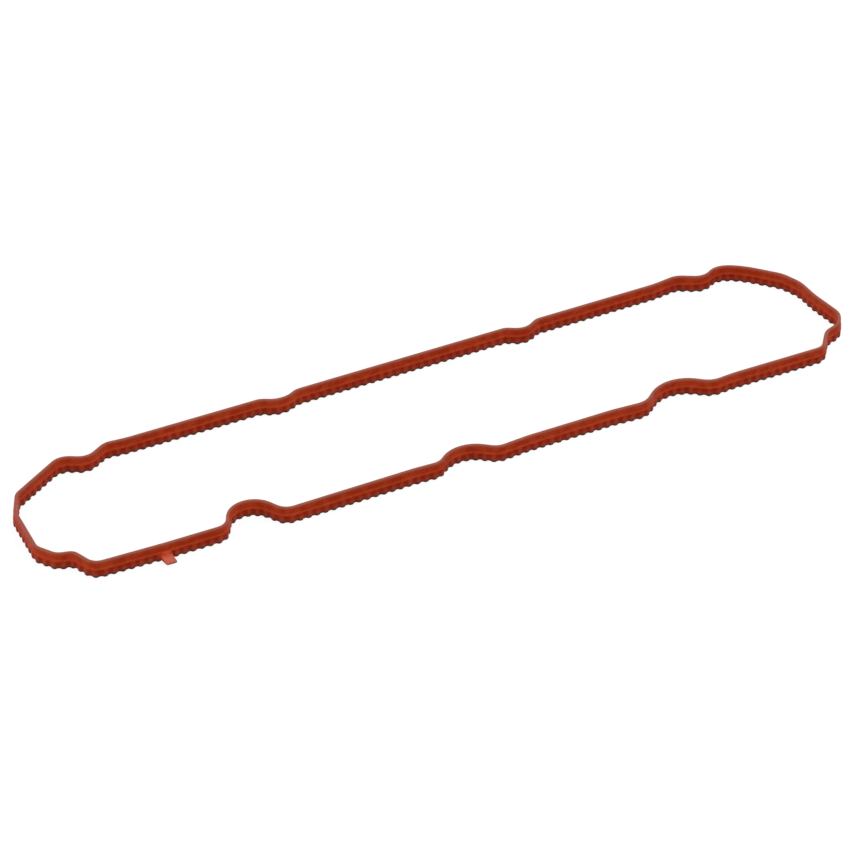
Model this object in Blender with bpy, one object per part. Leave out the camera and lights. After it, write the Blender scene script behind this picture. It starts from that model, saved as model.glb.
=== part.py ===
# Intake manifold gasket: one moulded silicone seal, pressed into a groove
#
# The seal is a closed loop, tall and narrow in section. From the top its section is a narrow
# crown, a smooth upper wall, a ridge, and a lower wall whose ribs stand out on both sides and
# end in feet. The loop bends inwards round each bolt outside it, and one flat tab on the
# near side sets which way round it goes in.
#
# Units are metres and +Z is up. The seal lies on its feet, at Z = 0.

import math

import bmesh
import bpy
from mathutils import Matrix, Vector

# Heights of the section, from the feet up
HEIGHT = 0.0082
FOOT_CHAMFER = 0.0006
FOOT_LIFT = 0.0007
HOLLOW_TOP = 0.0030
RIDGE_HEIGHT = 0.0040
GROOVE_HEIGHT = 0.0050
SHOULDER_HEIGHT = 0.0066
BEAD_HEIGHT = 0.0075

# Widths of the section, from its middle line out to one side
FOOT_HALF_WIDTH = 0.00050
HOLLOW_HALF_WIDTH = 0.00065
RIB_HALF_WIDTH = 0.00115
RIDGE_HALF_WIDTH = 0.00105
GROOVE_HALF_WIDTH = 0.00078
SHOULDER_HALF_WIDTH = 0.00086
BEAD_HALF_WIDTH = 0.00068
CROWN_HALF_WIDTH = 0.00035

# Ribs along the loop, the first hollow at RIB_START from its first straight
RIB_PITCH = 0.00398
RIB_CREST = 0.0016
RIB_START = 0.0009

# Tab on the outside of the near side, its reach taken from the loop's middle line
TAB_PLACE = -0.1400
TAB_WIDTH = 0.0048
TAB_REACH = 0.0066
TAB_THICKNESS = 0.0007
TAB_TOP = 0.0023
TAB_CORNER = 0.0005
TAB_CORNER_STEPS = 3
HALVINGS = 30

# The four sides of the loop's middle line
NEAR_SIDE = -0.0364
FAR_SIDE = 0.0406
LEFT_END = -0.1892
RIGHT_END = 0.1990

# Slopes of the bends' flanks, from the side's own line
STEEP_FLANK = math.radians(62)
MIDDLE_FLANK = math.radians(39)
SLIGHT_FLANK = math.radians(30)

# Most that the loop may turn between two sections of its smooth upper part
SMOOTH_TURN = math.radians(13)

# Edges sharper than this stay crisp
SHARP_EDGE = math.radians(35)

RED_SILICONE = (0.300, 0.024, 0.010, 1.0)
SILICONE_ROUGHNESS = 0.45


def bend(side, along, place, depth, radius, flank, lifts, foot_radius):
    """The three corners of a bend round a bolt: foot, tip, foot.

    The bend is an arc of that radius whose innermost point is depth inside the side's line.
    Its flanks slope by the angle flank, from feet that lie lifts outside that line. The side
    is followed in the direction along, 1 towards +X and -1 towards -X.
    """
    tip = depth + radius * (1 / math.cos(flank) - 1)
    corners = [(place, side + along * tip, radius)]
    for sense, lift in ((-1, lifts[0]), (1, lifts[1])):
        reach = (tip + lift) / math.tan(flank)
        corners.append((place + sense * along * reach, side - along * lift, foot_radius))
    tip_corner, first_foot, last_foot = corners
    return [first_foot, tip_corner, last_foot]


def loop_corners():
    """Corners (x, y, rounding radius) of the middle line, anticlockwise from above."""
    near, far, left, right = NEAR_SIDE, FAR_SIDE, LEFT_END, RIGHT_END
    corners = [
        (left + 0.0004, near + 0.0240, 0.006),
        (left + 0.0058, near + 0.0155, 0.006),
        (left + 0.0129, near + 0.0136, 0.004),
        (left + 0.0170, near + 0.0024, 0.006),
        (-0.1400, near + 0.0013, 0.100),
    ]
    corners += bend(near, 1, -0.0990, 0.0129, 0.011, STEEP_FLANK, (-0.0011, 0.0), 0.007)
    corners += [(-0.0240, near + 0.0006, 0.050)]
    corners += bend(near, 1, 0.0008, 0.0060, 0.015, MIDDLE_FLANK, (0.0, 0.0015), 0.008)
    corners += [(0.0300, near - 0.0004, 0.050), (0.0720, near - 0.0003, 0.050)]
    corners += bend(near, 1, 0.1052, 0.0074, 0.017, MIDDLE_FLANK, (0.0014, 0.0009), 0.010)
    corners += [
        (0.1335, near - 0.0001, 0.050),
        (right - 0.0205, near - 0.0005, 0.004),
        (right - 0.0128, near + 0.0096, 0.004),
        (right - 0.0047, near + 0.0122, 0.005),
        (right - 0.0001, near + 0.0190, 0.006),
        (right - 0.0026, near + 0.0370, 0.040),
        (right - 0.0028, far - 0.0286, 0.015),
        (right - 0.0066, far - 0.0191, 0.006),
        (right - 0.0169, far - 0.0078, 0.030),
        (right - 0.0229, far - 0.0028, 0.020),
    ]
    corners += bend(far, -1, 0.1600, 0.0036, 0.008, SLIGHT_FLANK, (0.0002, 0.0016), 0.009)
    corners += [(0.1370, far, 0.050)]
    corners += bend(far, -1, 0.0685, 0.0035, 0.008, SLIGHT_FLANK, (-0.0002, -0.0001), 0.006)
    corners += bend(far, -1, -0.0510, 0.0031, 0.012, SLIGHT_FLANK, (-0.0004, 0.0002), 0.008)
    corners += [(-0.1240, far + 0.0004, 0.050)]
    corners += bend(far, -1, -0.1440, 0.0036, 0.008, SLIGHT_FLANK, (0.0014, 0.0013), 0.008)
    corners += [
        (left + 0.0079, far - 0.0151, 0.006),
        (left + 0.0024, far - 0.0262, 0.004),
    ]
    return corners


def rounded_outline(corners):
    """Straight and round stretches of the closed middle line, one after the other.

    A stretch is (start, heading, length, turn): it starts at a point with a heading and
    turns evenly by an angle over its length, which is nought on a straight.
    """
    points = [Vector(corner[:2]) for corner in corners]
    count = len(points)
    turns = []
    for i in range(count):
        before = points[i] - points[i - 1]
        after = points[(i + 1) % count] - points[i]
        turns.append(math.atan2(before.x * after.y - before.y * after.x, before.dot(after)))
    setbacks = [corners[i][2] * math.tan(abs(turns[i]) / 2) for i in range(count)]
    for i in range(count):
        room = (points[(i + 1) % count] - points[i]).length
        wanted = setbacks[i] + setbacks[(i + 1) % count]
        if wanted > room:
            setbacks[i] *= room / wanted
            setbacks[(i + 1) % count] *= room / wanted
    stretches = []
    for i in range(count):
        following = (i + 1) % count
        side = points[following] - points[i]
        heading = math.atan2(side.y, side.x)
        start = points[i] + side.normalized() * setbacks[i]
        straight = side.length - setbacks[i] - setbacks[following]
        stretches.append((start, heading, straight, 0.0))
        end = start + side.normalized() * straight
        radius = setbacks[following] / math.tan(abs(turns[following]) / 2)
        stretches.append((end, heading, radius * abs(turns[following]), turns[following]))
    return stretches


def place_on(stretches, distance):
    """Point and heading on the middle line, at a distance from its start."""
    for start, heading, length, turn in stretches:
        if distance <= length:
            break
        distance -= length
    turned = turn * distance / length if turn else 0.0
    chord = distance * math.sin(turned / 2) / (turned / 2) if turned else distance
    middle = heading + turned / 2
    return start + chord * Vector((math.cos(middle), math.sin(middle))), heading + turned


def section(on_rib):
    """One side of the section, from the foot up: (distance from the middle, height)."""
    if on_rib:
        lower = [(FOOT_HALF_WIDTH, 0.0), (RIB_HALF_WIDTH, FOOT_CHAMFER)]
    else:
        lower = [(FOOT_HALF_WIDTH, FOOT_LIFT), (HOLLOW_HALF_WIDTH, HOLLOW_TOP)]
    upper = [
        (RIDGE_HALF_WIDTH, RIDGE_HEIGHT),
        (GROOVE_HALF_WIDTH, GROOVE_HEIGHT),
        (SHOULDER_HALF_WIDTH, SHOULDER_HEIGHT),
        (BEAD_HALF_WIDTH, BEAD_HEIGHT),
        (CROWN_HALF_WIDTH, HEIGHT),
    ]
    return lower, upper


def stations(stretches):
    """Where the sections stand: three to each rib, a hollow and the rib's two edges.

    Each is (point, heading, on a rib, carries the smooth upper part).
    """
    length = sum(stretch[2] for stretch in stretches)
    ribs = round(length / RIB_PITCH)
    pitch = length / ribs
    edge = (pitch - RIB_CREST) / 2
    found = []
    last_heading = None
    for rib in range(ribs):
        for offset, on_rib in ((0.0, False), (edge, True), (pitch - edge, True)):
            distance = (RIB_START + rib * pitch + offset) % length
            point, heading = place_on(stretches, distance)
            turned = abs(heading - last_heading) if last_heading is not None else 0.0
            turned = min(turned, 2 * math.pi - turned)
            smooth = not on_rib or turned > SMOOTH_TURN
            if smooth:
                last_heading = heading
            found.append((point, heading, on_rib, smooth))
    return found


def zip_rows(bm, low, high):
    """Triangles between two closed rows of points, always across the shorter diagonal."""
    low = low + low[:1]
    high = high + high[:1]
    i = j = 0
    while i < len(low) - 1 or j < len(high) - 1:
        if j == len(high) - 1:
            step_low = True
        elif i == len(low) - 1:
            step_low = False
        else:
            across_low = (low[i + 1].co - high[j].co).length
            across_high = (high[j + 1].co - low[i].co).length
            step_low = across_low < across_high
        if step_low:
            bm.faces.new((low[i], low[i + 1], high[j]))
            i += 1
        else:
            bm.faces.new((low[i], high[j + 1], high[j]))
            j += 1


def seal_mesh(stretches):
    """The whole loop: rows of points that follow it, one row for each point of the section."""
    bm = bmesh.new()
    row_count = sum(len(part) for part in section(True))
    rows = {(side, row): [] for side in (1, -1) for row in range(row_count)}
    for point, heading, on_rib, smooth in stations(stretches):
        lower, upper = section(on_rib)
        outward = Vector((math.sin(heading), -math.cos(heading)))
        profile = lower + upper if smooth else lower
        for row, (offset, height) in enumerate(profile):
            for side in (1, -1):
                place = point + side * offset * outward
                rows[side, row].append(bm.verts.new((place.x, place.y, height)))
    top = row_count - 1
    for row in range(top):
        zip_rows(bm, rows[1, row], rows[1, row + 1])
        zip_rows(bm, rows[-1, row + 1], rows[-1, row])
    zip_rows(bm, rows[1, top], rows[-1, top])
    zip_rows(bm, rows[-1, 0], rows[1, 0])
    mesh = bpy.data.meshes.new("gasket")
    bm.to_mesh(mesh)
    bm.free()
    return mesh


def near_side_at(stretches, x):
    """Point and heading where the near side passes a place along it, found by halving."""
    for stretch, following in zip(stretches, stretches[1:]):
        if stretch[0].y < 0.0 and stretch[0].x <= x <= following[0].x:
            break
    low, high = 0.0, stretch[2]
    for _ in range(HALVINGS):
        distance = (low + high) / 2
        point, heading = place_on([stretch], distance)
        if point.x < x:
            low = distance
        else:
            high = distance
    return point, heading


def tab_mesh(stretches):
    """The flat tab, from inside the wall out to its rounded outer corners."""
    bm = bmesh.new()
    bmesh.ops.create_cube(bm, size=1.0)
    bmesh.ops.scale(bm, vec=(TAB_WIDTH, TAB_REACH, TAB_THICKNESS), verts=bm.verts)
    bmesh.ops.translate(bm, vec=(0, -TAB_REACH / 2, TAB_TOP - TAB_THICKNESS / 2), verts=bm.verts)
    outer = [edge for edge in bm.edges
             if all(vert.co.y < -TAB_REACH / 2 for vert in edge.verts)
             and abs(edge.verts[0].co.z - edge.verts[1].co.z) > TAB_THICKNESS / 2]
    bmesh.ops.bevel(bm, geom=outer, offset=TAB_CORNER, offset_type="OFFSET", profile=0.5,
                    segments=TAB_CORNER_STEPS, affect="EDGES")
    point, heading = near_side_at(stretches, TAB_PLACE)
    bm.transform(Matrix.Translation(point.to_3d()) @ Matrix.Rotation(heading, 4, "Z"))
    mesh = bpy.data.meshes.new("tab")
    bm.to_mesh(mesh)
    bm.free()
    return mesh


def move_to_origin(meshes):
    """Put the middle of the whole part's box, on its lowest face, at the origin."""
    points = [vert.co for mesh in meshes for vert in mesh.vertices]
    low = Vector([min(point[axis] for point in points) for axis in range(3)])
    high = Vector([max(point[axis] for point in points) for axis in range(3)])
    middle = (low + high) / 2
    for mesh in meshes:
        mesh.transform(Matrix.Translation((-middle.x, -middle.y, -low.z)))


def silicone():
    material = bpy.data.materials.new("red_silicone")
    material.use_nodes = True
    shader = material.node_tree.nodes["Principled BSDF"]
    shader.inputs["Base Color"].default_value = RED_SILICONE
    shader.inputs["Roughness"].default_value = SILICONE_ROUGHNESS
    shader.inputs["Metallic"].default_value = 0.0
    return material


def collection(name):
    made = bpy.data.collections.new(name)
    bpy.context.scene.collection.children.link(made)
    return made


def main():
    for old in list(bpy.data.objects):
        bpy.data.objects.remove(old)
    parts = collection("intake_manifold_gasket")
    joined = collection("joined_shapes")

    stretches = rounded_outline(loop_corners())
    meshes = [seal_mesh(stretches), tab_mesh(stretches)]
    move_to_origin(meshes)

    gasket = bpy.data.objects.new("gasket", meshes[0])
    parts.objects.link(gasket)
    gasket.data.materials.append(silicone())

    tab = bpy.data.objects.new("tab_shape", meshes[1])
    joined.objects.link(tab)
    tab.hide_render = True
    tab.display_type = "WIRE"

    union = gasket.modifiers.new("tab", "BOOLEAN")
    union.operation = "UNION"
    union.solver = "EXACT"
    union.object = tab

    gasket.data.shade_smooth()
    gasket.data.set_sharp_from_angle(angle=SHARP_EDGE)


main()
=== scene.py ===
import math

import bpy
import numpy as np
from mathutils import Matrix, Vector


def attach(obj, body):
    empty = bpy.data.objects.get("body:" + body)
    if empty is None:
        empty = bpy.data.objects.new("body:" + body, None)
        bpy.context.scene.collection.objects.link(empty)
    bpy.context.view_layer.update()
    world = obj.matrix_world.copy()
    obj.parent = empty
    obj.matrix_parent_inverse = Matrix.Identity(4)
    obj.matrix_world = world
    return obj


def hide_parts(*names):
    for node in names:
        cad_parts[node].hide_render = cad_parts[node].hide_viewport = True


# Intake manifold gasket: a moulded silicone seal lying on a plain white ground

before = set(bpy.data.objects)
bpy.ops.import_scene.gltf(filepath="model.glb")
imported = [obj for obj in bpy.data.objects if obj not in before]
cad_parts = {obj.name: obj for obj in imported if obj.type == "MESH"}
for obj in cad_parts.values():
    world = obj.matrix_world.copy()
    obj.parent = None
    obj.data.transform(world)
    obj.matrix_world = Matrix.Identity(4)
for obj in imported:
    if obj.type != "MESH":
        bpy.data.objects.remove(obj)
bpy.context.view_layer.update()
print("frame loaded")


# Node trees

class Wire:
    # one output of a node; arithmetic on it adds Math nodes
    def __init__(self, sheet, socket):
        self.sheet = sheet
        self.socket = socket

    def math(self, operation, *values):
        return self.sheet.add("ShaderNodeMath", {"operation": operation}, dict(enumerate(values)))

    def __add__(self, other):
        return self.math("ADD", self, other)

    def __radd__(self, other):
        return self.math("ADD", other, self)

    def __sub__(self, other):
        return self.math("SUBTRACT", self, other)

    def __rsub__(self, other):
        return self.math("SUBTRACT", other, self)

    def __mul__(self, other):
        return self.math("MULTIPLY", self, other)

    def __rmul__(self, other):
        return self.math("MULTIPLY", other, self)

    def limit(self):
        return self.sheet.add("ShaderNodeClamp", {}, {"Value": self})

    def ramp(self, low, high):
        # 0 below low, 1 above high, smooth between them
        return self.sheet.add("ShaderNodeMapRange", {"interpolation_type": "SMOOTHSTEP"},
                              {"Value": self, "From Min": low, "From Max": high})


class Sheet:
    # the node tree of one material, or of the world
    def __init__(self, owner):
        owner.use_nodes = True
        self.tree = owner.node_tree
        self.tree.nodes.clear()

    def add(self, kind, settings, inputs, take=0):
        # a new node: its settings first, then values or wires for its inputs; inputs and the
        # output to take are given by name, or by number where several share a name
        node = self.tree.nodes.new(kind)
        for name, value in settings.items():
            setattr(node, name, value)
        for key, value in inputs.items():
            if isinstance(value, Wire):
                self.tree.links.new(value.socket, node.inputs[key])
            else:
                node.inputs[key].default_value = value
        return Wire(self, node.outputs[take] if node.outputs else None)

    def blend(self, factor, first, second):
        # from one colour to another
        return self.add("ShaderNodeMix", {"data_type": "RGBA"}, {0: factor, 6: first, 7: second}, 2)

    def noise(self, place, scale, detail, roughness):
        # cloudy noise from 0 to 1
        return self.add("ShaderNodeTexNoise", {}, {
            "Vector": place, "Scale": scale, "Detail": detail, "Roughness": roughness})

    def upPart(self, vector):
        # the Z of a place or a direction
        return self.add("ShaderNodeSeparateXYZ", {}, {"Vector": vector}, "Z")

    def shade(self, name):
        # the numbers that a piece keeps at its points under this name, 0 where it has none
        return self.add("ShaderNodeAttribute", {"attribute_name": name}, {}, "Fac")


# Silicone

silicone = {
    "red": (0.550, 0.0535, 0.0130, 1.0),
    "deepRed": (0.450, 0.0325, 0.0062, 1.0),
    # painted shade, darkening the crown's top below the brightness its light gives
    "crownPaintedShade": (0.230, 0.0500, 0.0170, 1.0),
    # painted highlight along the ridge's upper slope
    "ridgePaintedHighlight": (0.430, 0.0650, 0.0260, 1.0),
    # painted shade: the ribs darker and browner towards the floor
    "ribPaintedShade": (0.378, 0.0780, 0.0480, 1.0),
    # painted highlight, a paler sheen on upward faces such as the tab's top
    "upwardPaintedHighlight": (0.550, 0.0980, 0.0480, 1.0),
    # painted shadow at the feet, also used as the painted shade of the tab's rim
    "footAndRimPaintedShade": (0.085, 0.0255, 0.0145, 1.0),
    # painted shade in the hollows between the ribs
    "hollowPaintedShade": (0.365, 0.0110, 0.0012, 1.0),
    "cloud": (45.0, 3.0, 0.55),          # scale, detail and roughness of the widest noise,
    "patch": (260.0, 4.0, 0.60),         # of the middle one
    "grain": (2600.0, 2.0, 0.60),        # and of the finest
    "cloudShare": 0.3,                   # share of the widest noise in the red's mottling
    "mottleRange": (0.42, 0.58),         # noise at which the red is deep, and plain
    "crownHeights": (0.0066, 0.0080),    # the crown's painted shade grows between these heights
    "crownShadeShare": 0.7,
    "crownSpread": 0.6,                  # how much that share varies with the noise
    "ridgeGrows": (0.0042, 0.0046),      # the ridge's painted highlight grows between these heights
    "ridgeFades": (0.0046, 0.0050),      # and fades between these
    "ridgeHighlightShare": 0.6,
    "ribHeights": (0.0009, 0.0036),      # the ribs' painted shade, darker towards the floor, fades between these
    "footHeights": (0.0001, 0.0019),     # and the feet's painted shadow between these
    "footSpread": 0.0012,                # how much the feet's height varies with the noise
    "hollowShadeShare": 0.60,
    "rimShadeShare": 0.85,
    "upwardRange": (0.60, 0.95),         # Z of the normal where the painted highlight of upward faces grows
    "flatRange": (0.90, 0.99),           # and where flat faces get their polish
    "glossHeights": (0.0072, 0.0079),    # the crown's polish begins between these
    "glossLeast": 0.8,
    "glossSpread": 0.4,                  # how much the polish varies with the noise
    "crownDulling": 0.34,                # share of its polish that the crown has lost
    "glossRoughness": 0.38,
    "specular": 0.06,
    "roughness": 0.50,
    "roughnessSpread": 0.14,
    "grainDepth": 0.00003,
    "grainStrength": 0.5,
    "patchRelief": 0.6,                  # depth of the patches beside the grain's
}


def siliconeMaterial(look):
    # brick-red rubber: cloudy pigment, a matt wall, a polished crown and tab, a fine moulded grain
    # painted shade on the crown, the lower ribs, the feet, the tab's rim and the hollows; painted
    # highlights on the ridge and on upward faces
    material = bpy.data.materials.new("redSilicone")
    sheet = Sheet(material)
    place = sheet.add("ShaderNodeTexCoord", {}, {}, "Object")
    height = sheet.upPart(place)
    facing = sheet.upPart(sheet.add("ShaderNodeNewGeometry", {}, {}, "Normal"))
    cloud = sheet.noise(place, *look["cloud"])
    patch = sheet.noise(place, *look["patch"])
    grain = sheet.noise(place, *look["grain"])
    uneven = patch - 0.5    # 0 on average

    mottle = look["cloudShare"] * cloud + (1 - look["cloudShare"]) * patch
    pigment = sheet.blend(mottle.ramp(*look["mottleRange"]), look["deepRed"], look["red"])
    crown = height.ramp(*look["crownHeights"])
    crownShadeShare = look["crownShadeShare"] + look["crownSpread"] * uneven
    # painted shade on the crown
    pigment = sheet.blend(crown * crownShadeShare, pigment, look["crownPaintedShade"])
    # painted highlight: a paler line along the ridge
    ridgeHighlight = height.ramp(*look["ridgeGrows"]) * (1.0 - height.ramp(*look["ridgeFades"]))
    pigment = sheet.blend(ridgeHighlight * look["ridgeHighlightShare"], pigment, look["ridgePaintedHighlight"])
    # painted shade, growing towards the floor on the lower ribs
    pigment = sheet.blend(height.ramp(*look["ribHeights"]), look["ribPaintedShade"], pigment)
    # painted shade in the hollows between the ribs, from the seal's hollow numbers
    pigment = sheet.blend(sheet.shade("hollow") * look["hollowShadeShare"], pigment, look["hollowPaintedShade"])
    # painted highlight on upward faces below the crown
    upwardHighlight = facing.ramp(*look["upwardRange"]) * (1.0 - crown)
    pigment = sheet.blend(upwardHighlight, pigment, look["upwardPaintedHighlight"])
    # painted shade on the tab's rim, in the feet's dark colour
    pigment = sheet.blend(sheet.shade("rimPaintedShade") * look["rimShadeShare"], pigment, look["footAndRimPaintedShade"])
    # painted shadow darkening the feet, its height varied by the noise
    foot = height + look["footSpread"] * uneven
    pigment = sheet.blend(foot.ramp(*look["footHeights"]), look["footAndRimPaintedShade"], pigment)

    polish = height.ramp(*look["glossHeights"])
    gloss = (polish + facing.ramp(*look["flatRange"])).limit()
    gloss = gloss * (look["glossLeast"] + look["glossSpread"] * patch)
    gloss = gloss * (1.0 - look["crownDulling"] * polish)
    relief = sheet.add("ShaderNodeBump", {}, {
        "Strength": look["grainStrength"],
        "Distance": look["grainDepth"],
        "Height": grain + look["patchRelief"] * patch,
    })
    shader = sheet.add("ShaderNodeBsdfPrincipled", {}, {
        "Base Color": pigment,
        "Roughness": look["roughness"] + look["roughnessSpread"] * uneven,
        "Specular IOR Level": look["specular"],
        "Coat Weight": gloss.limit(),
        "Coat Roughness": look["glossRoughness"],
        "Normal": relief,
    })
    sheet.add("ShaderNodeOutputMaterial", {}, {"Surface": shader})
    return material


# Meshes

def newPiece(name, points, faces, material):
    # a smooth piece from an array of points, of any shape, and a list of faces
    mesh = bpy.data.meshes.new(name)
    mesh.from_pydata(points.reshape(-1, 3), [], faces)
    mesh.polygons.foreach_set("use_smooth", np.ones(len(mesh.polygons), bool))
    mesh.materials.append(material)
    piece = bpy.data.objects.new(name, mesh)
    bpy.context.scene.collection.objects.link(piece)
    return piece


def addShade(piece, name, values):
    # a number for each point of the mesh, which the material reads by this name
    shade = piece.data.attributes.new(name, "FLOAT", "POINT")
    shade.data.foreach_set("value", values.ravel().astype(np.float32))


def ringFaces(rows, columns):
    # the squares of a grid that closes on itself both ways
    i, j = np.meshgrid(np.arange(rows), np.arange(columns), indexing="ij")
    up, across = (i + 1) % rows, (j + 1) % columns
    corners = [i * columns + j, up * columns + j, up * columns + across, i * columns + across]
    return np.stack(corners, axis=-1).reshape(-1, 4)


def cappedFaces(rows, columns):
    # the squares between stacked rings, and a fan at each end; the two poles, bottom and top,
    # are the last points
    squares = ringFaces(rows, columns)[:(rows - 1) * columns]
    ring = np.arange(columns)
    after = (ring + 1) % columns
    topRing = (rows - 1) * columns
    bottomPole, topPole = rows * columns, rows * columns + 1
    bottomFan = np.stack([np.full(columns, bottomPole), ring, after], axis=1)
    topFan = np.stack([np.full(columns, topPole), topRing + after, topRing + ring], axis=1)
    return squares.tolist() + bottomFan.tolist() + topFan.tolist()


def smoothStep(start, end, value):
    # 3t^2 - 2t^3, with t going from 0 at start to 1 at end, which may be the lower one
    t = np.clip((value - start) / (end - start), 0, 1)
    return t * t * (3 - 2 * t)


# Loop: the middle line, read from the feet of the CAD seal

loop = {
    "decimals": 7,             # points that agree to so many decimals of a metre are one
    "footBand": 0.00002,       # height within which a corner belongs to a foot
    "spineEnd": 0.150,         # half length of the spine that the loop's points are ordered about
    "softFrom": 0.170,         # the right end's corners, from here, are a little softer:
    "softening": 0.5,          # how far a middle point moves there towards its neighbours' middle
    "samples": 12,             # fine points to each stretch of the curve
    "headingReach": 0.0002,    # a heading is read between places this far behind and ahead
}


def uniquePoints(points):
    # the points, rounded, each once
    return np.unique(points.round(loop["decimals"]), axis=0)


def cadPoints():
    # the corners of the CAD node's loose triangles, each once
    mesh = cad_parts["gasket"].data
    points = np.empty(len(mesh.vertices) * 3)
    mesh.vertices.foreach_get("co", points)
    return uniquePoints(points.reshape(-1, 3))


def aroundOrder(points):
    # place round a stadium: along the near side, round the right end, back, round the left end
    end = loop["spineEnd"]
    x, y = points[:, 0], points[:, 1]
    radius = np.abs(y).mean()
    rightTurn = np.arctan2(y, x - end) + math.pi / 2
    leftTurn = np.arctan2(-y, -(x + end)) + math.pi / 2
    turn = math.pi * radius
    sides = np.where(y < 0, x + end, 3 * end + turn - x)
    return np.where(x > end, 2 * end + rightTurn * radius,
                    np.where(x < -end, 4 * end + turn + leftTurn * radius, sides))


def middlePoints(points):
    # midpoints of the feet's pairs, two to a rib: each corner and the nearest one, across the
    # foot; past softFrom a point moves by a share of the way to its neighbours' middle
    feet = points[points[:, 2] < points[:, 2].min() + loop["footBand"]][:, :2]
    apart = np.linalg.norm(feet[:, None] - feet[None], axis=2)
    np.fill_diagonal(apart, np.inf)
    middle = uniquePoints((feet + feet[apart.argmin(axis=1)]) / 2)
    middle = middle[np.argsort(aroundOrder(middle))]
    beside = (np.roll(middle, 1, axis=0) + np.roll(middle, -1, axis=0)) / 2
    share = loop["softening"] * (middle[:, :1] > loop["softFrom"])
    return middle + share * (beside - middle)


def smoothCurve(points):
    # closed cubic spline through the points, in steps of chord length, its second derivatives
    # from one linear system; returns fine samples of it and the length along it at each
    count = len(points)
    following = np.roll(points, -1, axis=0)
    step = np.linalg.norm(following - points, axis=1)
    stepBefore = np.roll(step, 1)
    slope = (following - points) / step[:, None]
    index = np.arange(count)
    system = np.zeros((count, count))
    system[index, index] = 2 * (step + stepBefore)
    system[index, (index + 1) % count] = step
    system[index, index - 1] = stepBefore
    bend = np.linalg.solve(system, 6 * (slope - np.roll(slope, 1, axis=0)))
    bendAfter = np.roll(bend, -1, axis=0)
    t = np.linspace(0, 1, loop["samples"], endpoint=False)[None, :, None]
    h = step[:, None, None]
    a, b = points[:, None], following[:, None]
    p, q = bend[:, None], bendAfter[:, None]
    s = 1 - t
    place = s * a + t * b + h ** 2 / 6 * ((s ** 3 - s) * p + (t ** 3 - t) * q)
    place = place.reshape(-1, 2)
    closed = np.vstack([place, place[:1]])
    lengths = np.concatenate([[0], np.cumsum(np.linalg.norm(np.diff(closed, axis=0), axis=1))])
    return closed, lengths


def placeAlong(curve, distance):
    # places and outward directions at these distances, which may run past the seam
    closed, lengths = curve
    total = lengths[-1]

    def at(d):
        d = np.mod(d, total)
        return np.stack([np.interp(d, lengths, closed[:, axis]) for axis in (0, 1)], axis=-1)

    reach = loop["headingReach"]
    heading = at(distance + reach) - at(distance - reach)
    heading /= np.linalg.norm(heading, axis=-1, keepdims=True)
    outward = np.stack([heading[..., 1], -heading[..., 0]], axis=-1)
    return at(distance), outward


def distanceOf(curve, points):
    # how far along the curve each point's nearest place is, and how far off the curve it stands
    closed, lengths = curve
    apart = np.linalg.norm(points[:, None] - closed[None, :-1], axis=2)
    nearest = apart.argmin(axis=1)
    return lengths[nearest], apart.min(axis=1)


# Seal: one closed surface, its section carried along the loop

seal = {
    # rows of points in one rib's pitch, from the middle of one hollow towards the next
    "rowPlaces": (0.0, 0.12, 0.20, 0.28, 0.37, 0.50, 0.63, 0.72, 0.80, 0.88),
    "hollowEdge": 0.08,        # share of the pitch where the hollow's floor ends
    "ribEdge": 0.42,           # share of the pitch where the rib's crest starts
    # the hollows' deep red below is painted shade
    "shadeGrows": (0.0040, 0.0031),      # going down, the hollows' deep red grows between these
    "shadeFades": (0.0026, 0.0010),      # heights, and falls to its lower share between these
    "shadeLeft": 0.75,                   # that share
    # one side of the section, from the foot up: distance from the middle and height, in mm
    "rib": (
        (0.50, 0.00), (0.72, 0.04), (0.91, 0.18), (1.02, 0.42), (1.08, 0.72), (1.11, 1.10),
        (1.13, 1.75), (1.13, 2.60), (1.11, 3.30), (1.10, 3.85), (1.07, 4.30), (1.00, 4.58),
    ),
    "hollow": (
        (0.34, 0.43), (0.42, 0.46), (0.48, 0.55), (0.52, 0.72), (0.54, 1.05), (0.54, 1.55),
        (0.54, 2.15), (0.55, 2.75), (0.63, 3.25), (0.83, 3.64), (1.03, 3.98), (1.00, 4.57),
    ),
    "upper": (
        (0.86, 4.78), (0.79, 5.12), (0.81, 5.80), (0.86, 6.60), (0.84, 7.12), (0.77, 7.60),
        (0.65, 7.96), (0.51, 8.14), (0.26, 8.20),
    ),
}


def sideOf(part):
    # one part of the section, from millimetres to metres
    return np.array(seal[part]) / 1000


def ribsOf(curve, middle):
    # number of ribs, two middle points to each, and the place of the first hollow: the ribs'
    # own places, as turns of the pitch, are averaged on a circle, and it lies half a pitch on
    total = curve[1][-1]
    ribs = len(middle) // 2
    along, _ = distanceOf(curve, middle)
    turn = np.exp(2j * math.pi * along * ribs / total).mean()
    return ribs, (np.angle(turn) / (2 * math.pi) + 0.5) * total / ribs


def paintedHollowShade(mask, height):
    # painted shade in the hollows: (1 - mask^2) * growth * (1 - (1 - left) * fade), with two smooth
    # steps down the height
    growth = smoothStep(*seal["shadeGrows"], height)
    fade = smoothStep(*seal["shadeFades"], height)
    return (1 - mask ** 2) * growth * (1 - (1 - seal["shadeLeft"]) * fade)


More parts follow.
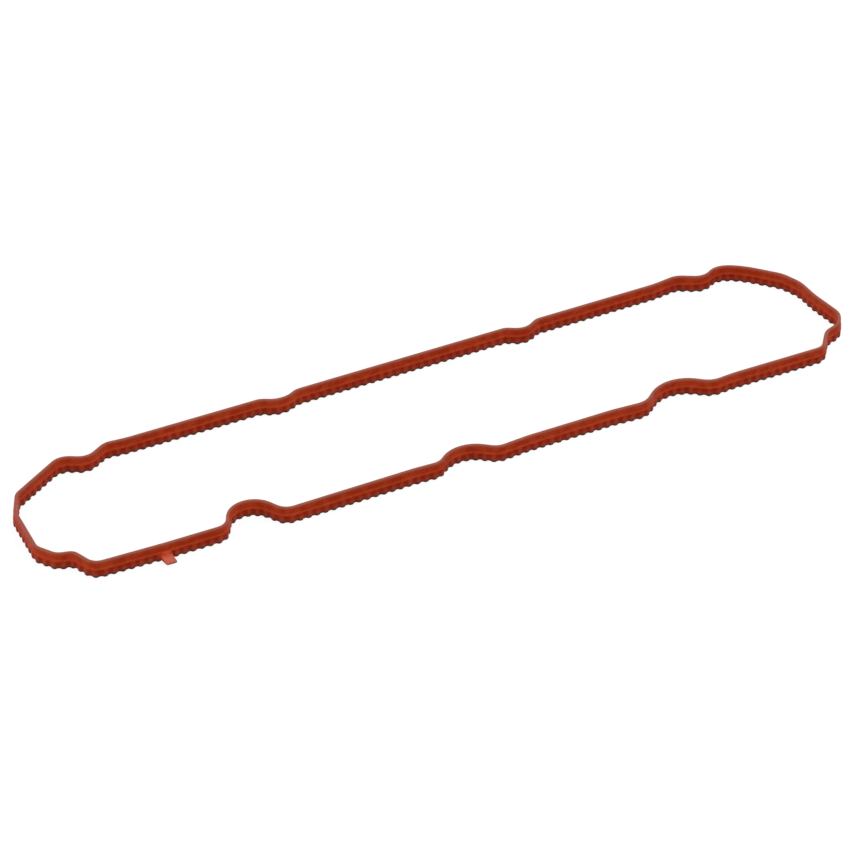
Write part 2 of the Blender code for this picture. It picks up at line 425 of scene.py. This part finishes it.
def buildSeal(curve, middle, material):
    # section(u) = hollow + mask(u) (rib - hollow) for the lower wall, one fixed upper wall;
    # a point is middle line(d) + side * distance * outward(d), at the section's height
    ribs, start = ribsOf(curve, middle)
    u = np.array(seal["rowPlaces"])
    rows = ribs * len(u)
    pitch = curve[1][-1] / ribs
    distance = start + (np.arange(ribs)[:, None] + u[None]).ravel() * pitch
    mask = np.tile(smoothStep(seal["hollowEdge"], seal["ribEdge"], np.minimum(u, 1 - u)), ribs)
    hollow, upper = sideOf("hollow"), sideOf("upper")
    lower = hollow + mask[:, None, None] * (sideOf("rib") - hollow)
    side = np.concatenate([lower, np.broadcast_to(upper, (rows, *upper.shape))], axis=1)
    place, outward = placeAlong(curve, distance)
    offset = np.concatenate([side[:, :, 0], -side[:, ::-1, 0]], axis=1)
    height = np.concatenate([side[:, :, 1], side[:, ::-1, 1]], axis=1)
    flat = place[:, None] + offset[:, :, None] * outward[:, None]
    grid = np.concatenate([flat, height[:, :, None]], axis=2)
    piece = newPiece("seal", grid, ringFaces(*offset.shape).tolist(), material)
    # the hollows' painted shade, kept at the points for the material
    addShade(piece, "hollow", paintedHollowShade(mask[:, None], height))
    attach(piece, "root")
    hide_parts("gasket")
    print("seal:", ribs, "ribs,", rows, "rows")


# Tab: a flat plate with rounded edges, sized from the CAD tab

tab = {
    "off": 0.0016,             # corners farther than this from the middle line are the tab's
    "outlinePower": 9.0,       # squareness of its outline
    "edgePower": 8.0,          # squareness of its edges
    "around": 72,              # points round its outline
    "over": 40,                # points from its bottom pole to its top pole
    "wallFace": 0.0011,        # the wall's face, from the middle line
    "fillet": 0.0011,          # how far the swelling at its root runs out
    "filletRise": 0.0023,      # how much it rises there
    "filletPower": 9,          # how far its rise is rounded off across the tab
    "flare": 0.10,             # how much wider it is there
    "taper": 0.33,             # how much wider its left half is at the root than at the tip
    "rimLifts": (0.80, 0.96),  # the rim's shade ends between these shares of its half thickness
    "rimLeft": 0.25,           # share of that shade on its left side
    "leftReach": (0.5, 0.9),   # which begins between these shares of its half width
}


def power(value, exponent):
    # the value's size raised to the exponent, with the value's sign
    return np.sign(value) * np.abs(value) ** exponent


def buildTab(curve, points, material):
    # superellipsoid: x = a C(v) c(u), y = b C(v) s(u), z = h S(v), where each of c, s, C and S
    # is a cosine or sine raised to 2 / squareness; near the wall it is wider by 1 + flare e and
    # its top is higher by rise e, with e = exp(-(distance from the wall) / fillet); its left
    # half narrows evenly from 1 + taper at the wall to 1 at the tip
    _, off = distanceOf(curve, points[:, :2])
    corners = points[off > tab["off"]]
    along, _ = distanceOf(curve, corners[:, :2].mean(axis=0)[None])
    place, outward = placeAlong(curve, along[0])
    heading = np.array([-outward[1], outward[0]])
    across = (corners[:, :2] - place) @ heading
    width = np.ptp(across)
    reach = ((corners[:, :2] - place) @ outward).max()
    low, high = corners[:, 2].min(), corners[:, 2].max()

    u = np.linspace(0, 2 * math.pi, tab["around"], endpoint=False)[None]
    v = np.linspace(-math.pi / 2, math.pi / 2, tab["over"])[:, None]
    flatShare = power(np.cos(v), 2 / tab["edgePower"])
    x = flatShare * power(np.cos(u), 2 / tab["outlinePower"]) * width / 2
    y = flatShare * power(np.sin(u), 2 / tab["outlinePower"]) * reach / 2 + reach / 2
    lift = power(np.sin(v), 2 / tab["edgePower"]) * np.ones_like(u)
    gap = np.clip(y - tab["wallFace"], 0, None)
    root = np.exp(-gap / tab["fillet"])
    taper = tab["taper"] * (1 - gap / (reach - tab["wallFace"]))
    x *= 1 + tab["flare"] * root + taper * (x < 0)
    z = lift * (high - low) / 2 + lift.clip(0) ** tab["filletPower"] * tab["filletRise"] * root
    middle = across.min() + width / 2
    flat = place + (x + middle)[:, :, None] * heading + y[:, :, None] * outward
    grid = np.concatenate([flat, z[:, :, None] + (low + high) / 2], axis=2)
    body, poles = grid[1:-1], grid[[0, -1]].mean(axis=1)
    vertices = np.vstack([body.reshape(-1, 3), poles])
    piece = newPiece("tab", vertices, cappedFaces(*body.shape[:2]), material)

    # painted shade on the tab's rim, weaker on its left side, where the side lamp lights it
    leftness = smoothStep(*tab["leftReach"], -2 * x / width)
    rimPaintedShade = (1 - smoothStep(*tab["rimLifts"], np.abs(lift))) * (1 - (1 - tab["rimLeft"]) * leftness)
    addShade(piece, "rimPaintedShade", np.append(rimPaintedShade[1:-1], (0, 0)))
    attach(piece, "root")
    print("tab made")


# Floor, world and lamps

studio = {
    "floorSize": 8.0,
    "floorDrop": 0.00005,      # how far the floor lies under the feet
    "floorBounce": (0.14, 0.14, 0.14, 1.0),      # what the floor throws back on the object
    "floorShown": (0.90, 0.90, 0.90, 1.0),       # the shaded floor that is seen
    "whiteShare": 0.86,        # share of plain white in the floor that is seen
    "floorWhite": 1.05,        # strength of that white
    "white": (1.0, 1.0, 1.0, 1.0),
    "skyLight": 0.78,
    "lampSize": 1.4,
    "keyPlace": (0.62, -0.72, 1.83),
    "keyPower": 13.0,
    "sidePlace": (-2.00, 0.25, 0.45),
    "sidePower": 10.0,
}


def seenRays(sheet):
    # 1 where the camera, a reflection or glass looks at the surface, 0 where it gives light
    rays = sheet.tree.nodes.new("ShaderNodeLightPath")
    camera, glossy, glass = [Wire(sheet, rays.outputs[name]) for name in
                             ("Is Camera Ray", "Is Glossy Ray", "Is Transmission Ray")]
    return (camera + glossy + glass).limit()


def buildFloor():
    # a plain square; what is seen of it is mostly white, and keeps a part of the shadow
    half = studio["floorSize"] / 2
    corners = np.array([(-half, -half), (half, -half), (half, half), (-half, half)])
    points = np.column_stack([corners, np.full(4, -studio["floorDrop"])])
    material = bpy.data.materials.new("plainFloor")
    sheet = Sheet(material)
    giving = sheet.add("ShaderNodeBsdfDiffuse", {}, {"Color": studio["floorBounce"]})
    shaded = sheet.add("ShaderNodeBsdfDiffuse", {}, {"Color": studio["floorShown"]})
    plain = sheet.add("ShaderNodeEmission", {}, {"Strength": studio["floorWhite"]})
    shown = sheet.add("ShaderNodeMixShader", {}, {0: studio["whiteShare"], 1: shaded, 2: plain})
    surface = sheet.add("ShaderNodeMixShader", {}, {0: seenRays(sheet), 1: giving, 2: shown})
    sheet.add("ShaderNodeOutputMaterial", {}, {"Surface": surface})
    newPiece("floor", points, [(0, 1, 2, 3)], material)


def buildWorld():
    # even white light, and plain white where the world itself is seen
    world = bpy.data.worlds.new("studio")
    bpy.context.scene.world = world
    sheet = Sheet(world)
    light = sheet.add("ShaderNodeBackground", {},
                      {"Color": studio["white"], "Strength": studio["skyLight"]})
    seen = sheet.add("ShaderNodeBackground", {}, {"Color": studio["white"], "Strength": 1.0})
    surface = sheet.add("ShaderNodeMixShader", {}, {0: seenRays(sheet), 1: light, 2: seen})
    sheet.add("ShaderNodeOutputWorld", {}, {"Surface": surface})


def buildLamp(name):
    # a soft square lamp, aimed at the origin
    light = bpy.data.lights.new(name, "AREA")
    light.size = studio["lampSize"]
    light.energy = studio[name + "Power"]
    lamp = bpy.data.objects.new(name, light)
    lamp.location = studio[name + "Place"]
    lamp.rotation_euler = (-lamp.location).to_track_quat("-Z", "Y").to_euler()
    bpy.context.scene.collection.objects.link(lamp)


# Camera

view = {
    "aim": (-0.0050, 0.0003, 0.0),
    "distance": 1.972,
    "elevation": 35.3,
    "turn": 27.35,             # how far the view turns from +Y towards +X
    "lens": 192.5,
    "sensor": 36.0,
}


def buildCamera():
    # it looks along forward, and stands behind the aim by the distance
    rise, turn = math.radians(view["elevation"]), math.radians(view["turn"])
    forward = Vector((math.cos(rise) * math.sin(turn),
                      math.cos(rise) * math.cos(turn),
                      -math.sin(rise)))
    camera = bpy.data.objects.new("camera", bpy.data.cameras.new("camera"))
    camera.data.lens = view["lens"]
    camera.data.sensor_width = view["sensor"]
    camera.location = Vector(view["aim"]) - view["distance"] * forward
    camera.rotation_euler = forward.to_track_quat("-Z", "Y").to_euler()
    bpy.context.scene.collection.objects.link(camera)
    bpy.context.scene.camera = camera


rubber = siliconeMaterial(silicone)
corners = cadPoints()
middle = middlePoints(corners)
line = smoothCurve(middle)
print("loop:", round(line[1][-1] * 1000, 2), "mm long")
buildSeal(line, middle, rubber)
buildTab(line, corners, rubber)
buildFloor()
buildWorld()
buildLamp("key")
buildLamp("side")
buildCamera()
bpy.context.scene.view_settings.view_transform = "Standard"
print("studio ready")
